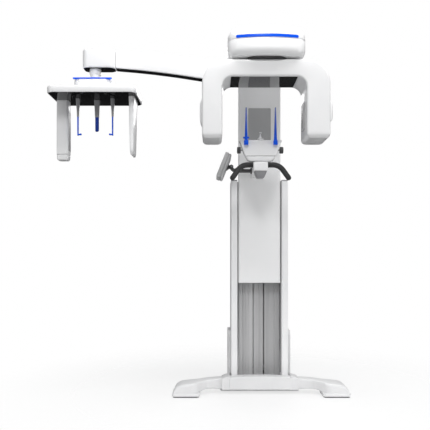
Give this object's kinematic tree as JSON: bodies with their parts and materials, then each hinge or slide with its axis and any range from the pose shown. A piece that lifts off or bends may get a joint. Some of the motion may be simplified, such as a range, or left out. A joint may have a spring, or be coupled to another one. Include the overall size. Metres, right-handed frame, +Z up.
{
  "type": "panoramic xray machine",
  "caption": "Column-mounted panoramic dental X-ray machine with a turning X-ray arm, chin rest and grips, and a side arm carrying a skull positioning unit.",
  "frame": {"origin": "on the floor at the middle of the four floor-anchor holes, straight below the column's centre line", "axes": "+Z up, -Y towards the patient's side, +X to the right seen from the patient's side"},
  "size_m": [1.857, 0.887, 2.168],
  "materials": {
    "white_shell": "glossy white moulded cover",
    "white_metal": "white powder coat",
    "steel_plate": "dark powder coat",
    "aluminium_panel": "grooved anodised extrusion",
    "grey_metal": "grey powder coat",
    "steel": "machined",
    "rubber_black": "matt grip rubber",
    "dark_plastic": "matt dark plastic",
    "grey_plastic": "matt grey plastic",
    "blue_plastic": "blue moulded plastic",
    "blue_light": "blue light strip",
    "dark_glass": "grey patient mirror",
    "bite_plastic": "clear white bite plastic"
  },
  "bodies": {
    "column": {"base_plate": "steel_plate", "rubber_feet": "rubber_black", "outrigger_left": "white_metal", "outrigger_right": "white_metal", "base_fascia": "white_shell", "side_gussets": "grey_metal", "column_extrusion": "aluminium_panel", "column_rail_left": "white_metal", "column_rail_right": "white_metal", "column_caps": "grey_plastic", "guide_rails": "steel", "rear_cover": "white_shell", "power_inlet": "dark_plastic", "screw_bearings": "steel", "lift_motor": "dark_plastic"},
    "lift_screw": {"lift_screw": "steel"},
    "main_switch": {"main_switch": "dark_plastic"},
    "carriage": {"carriage_frame": "aluminium_panel", "carriage_cover": "white_shell", "guide_shoes": "steel", "lift_nut_bracket": "steel", "mirror": "dark_glass", "head_lower_cover": "white_shell", "head_upper_cover": "white_shell", "head_light_strip": "blue_light", "head_frame": "aluminium_panel", "slew_bearing": "steel", "slew_motor": "dark_plastic", "ceph_arm": "white_shell", "ceph_housing": "white_shell", "ceph_plate": "white_shell", "ceph_underside": "dark_plastic", "ceph_collimator": "white_shell", "support_arm": "white_metal", "nose_block": "white_shell", "grip_left": "rubber_black", "grip_right": "rubber_black", "panel_stem": "dark_plastic"},
    "rotor": {"rotor_hub": "dark_plastic", "rotor_beam": "aluminium_panel", "rotor_bridge_shell": "white_shell", "rotor_left_shell": "white_shell", "rotor_right_shell": "white_shell", "rotor_left_cover": "white_shell", "rotor_right_cover": "white_shell", "tube_head": "grey_plastic", "collimator": "dark_plastic", "detector": "dark_plastic"},
    "chin_rest": {"chin_cup": "white_shell"},
    "temple_knobs": {"temple_knobs": "dark_plastic"},
    "temple_rod_left": {"temple_rod_left": "blue_plastic"},
    "temple_rod_right": {"temple_rod_right": "blue_plastic"},
    "bite_block": {"bite_block": "bite_plastic"},
    "control_panel": {"control_panel": "grey_plastic"},
    "positioner": {"positioner_disc": "dark_plastic"},
    "ear_rod_left": {"ear_rod_left": "blue_plastic"},
    "ear_rod_right": {"ear_rod_right": "blue_plastic"},
    "nasion_rod": {"nasion_rod": "blue_plastic"},
    "ceph_sensor": {"ceph_sensor": "white_shell"}
  },
  "joints": [
    {"name": "column_lift", "type": "slide", "parent": "column", "child": "carriage", "axis": [0, 0, 1], "range_m": [-0.55, 0.1]},
    {"name": "lift_screw_spin", "type": "hinge", "parent": "column", "child": "lift_screw", "pos_m": [0, 0.045, 0.1], "axis": [0, 0, 1], "continuous": true},
    {"name": "main_switch_rock", "type": "hinge", "parent": "column", "child": "main_switch", "pos_m": [0.04, 0.126, 0.09], "axis": [1, 0, 0], "range_deg": [-8, 0]},
    {"name": "rotor_spin", "type": "hinge", "parent": "carriage", "child": "rotor", "pos_m": [0, -0.555, 2], "axis": [0, 0, 1], "range_deg": [-180, 180]},
    {"name": "chin_height", "type": "slide", "parent": "carriage", "child": "chin_rest", "axis": [0, 0, 1], "range_m": [0, 0.03]},
    {"name": "temple_left", "type": "slide", "parent": "chin_rest", "child": "temple_rod_left", "axis": [-1, 0, 0], "range_m": [-0.03, 0.02]},
    {"name": "temple_right", "type": "slide", "parent": "chin_rest", "child": "temple_rod_right", "axis": [1, 0, 0], "range_m": [-0.03, 0.02]},
    {"name": "temple_knob_turn", "type": "hinge", "parent": "chin_rest", "child": "temple_knobs", "pos_m": [-0.018, -0.415, 1.522], "axis": [1, 0, 0], "range_deg": [-110, 80]},
    {"name": "bite_lift", "type": "slide", "parent": "chin_rest", "child": "bite_block", "axis": [0, 0, 1], "range_m": [0, 0.05]},
    {"name": "panel_tilt", "type": "hinge", "parent": "carriage", "child": "control_panel", "pos_m": [-0.1875, -0.251, 1.443], "axis": [0, 1, 0], "range_deg": [-40, 0]},
    {"name": "positioner_turn", "type": "hinge", "parent": "carriage", "child": "positioner", "pos_m": [-1.03, -0.322, 1.86], "axis": [0, 0, 1], "range_deg": [-90, 90]},
    {"name": "ear_left", "type": "slide", "parent": "positioner", "child": "ear_rod_left", "axis": [-1, 0, 0], "range_m": [-0.05, 0.015]},
    {"name": "ear_right", "type": "slide", "parent": "positioner", "child": "ear_rod_right", "axis": [1, 0, 0], "range_m": [-0.05, 0.015]},
    {"name": "nasion_reach", "type": "slide", "parent": "positioner", "child": "nasion_rod", "axis": [0, 1, 0], "range_m": [-0.02, 0.04]},
    {"name": "sensor_scan", "type": "slide", "parent": "carriage", "child": "ceph_sensor", "axis": [0, 1, 0], "range_m": [-0.17, 0]}
  ],
  "couplings": [
    {"joint": "lift_screw_spin", "follows": "column_lift", "rad_per_m": 314.16},
    {"joint": "temple_right", "follows": "temple_left", "ratio": 1},
    {"joint": "temple_knob_turn", "follows": "temple_left", "rad_per_m": 55},
    {"joint": "ear_right", "follows": "ear_left", "ratio": 1}
  ]
}
